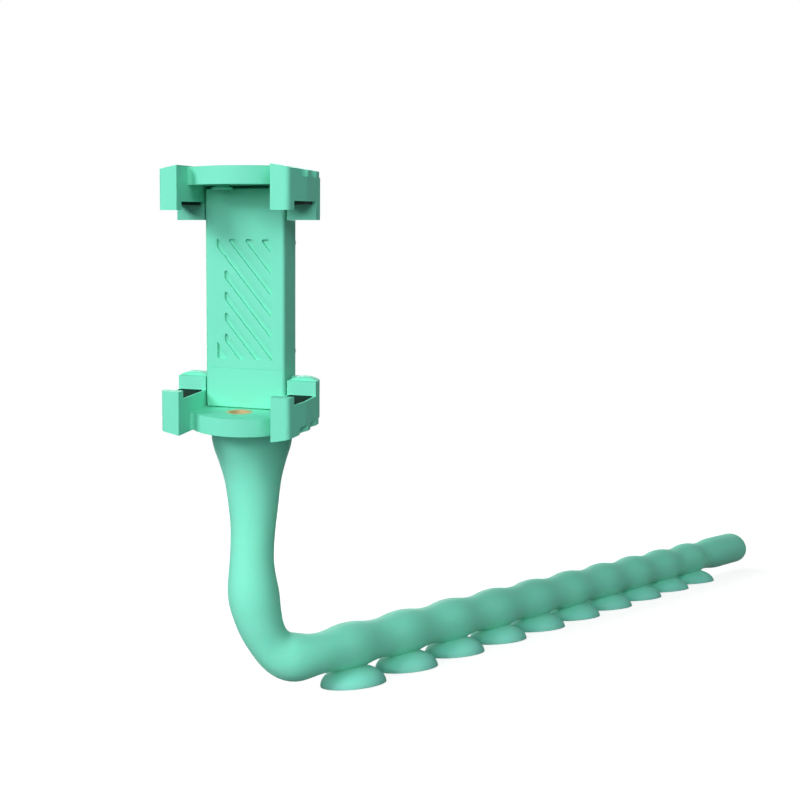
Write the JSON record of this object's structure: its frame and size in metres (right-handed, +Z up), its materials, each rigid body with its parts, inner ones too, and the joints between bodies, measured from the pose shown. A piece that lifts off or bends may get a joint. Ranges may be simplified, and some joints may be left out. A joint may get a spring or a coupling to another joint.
{
  "type": "phone gooseneck holder",
  "caption": "Spring clip for a phone on a bendable silicone gooseneck that stands on a row of suction cups.",
  "frame": {"origin": "floor level under the centre of the bounding box, with the suction cups' rims at Z = 0", "axes": "+Z up; the clip faces -Y; the row of cups runs from the neck towards +X and +Y, 62.5 degrees from +X"},
  "size_m": [0.1768, 0.3238, 0.1632],
  "materials": {
    "clip_plastic": "satin",
    "silicone": "satin",
    "pad_rubber": "matt",
    "insert_brass": "satin",
    "steel": "satin"
  },
  "bodies": {
    "base": {"sleeve": "silicone", "neck_plate": "steel", "cup_01": "silicone", "cup_02": "silicone", "cup_03": "silicone", "cup_04": "silicone", "cup_05": "silicone", "cup_06": "silicone", "cup_07": "silicone", "cup_08": "silicone", "cup_09": "silicone", "cup_10": "silicone"},
    "clip": {"front_plate": "clip_plastic", "rear_housing": "clip_plastic", "housing_screws": "steel", "lower_jaw": "clip_plastic", "thread_insert": "insert_brass", "pad_lower_left": "pad_rubber", "pad_lower_right": "pad_rubber", "spring_left": "steel", "spring_right": "steel"},
    "upper_jaw": {"upper_jaw": "clip_plastic", "pad_upper_left": "pad_rubber", "pad_upper_right": "pad_rubber"}
  },
  "joints": [
    {"name": "clip_swivel", "type": "hinge", "parent": "base", "child": "clip", "pos_m": [-0.06646, -0.11996, 0.08422], "axis": [0.1805, -0.2196, 0.9587], "continuous": true},
    {"name": "jaw_slide", "type": "slide", "parent": "clip", "child": "upper_jaw", "axis": [0.1805, -0.2196, 0.9587], "range_m": [0, 0.028], "stiffness_N_per_m": 150, "springref_m": -0.03, "deforming": ["spring_left", "spring_right"]}
  ]
}
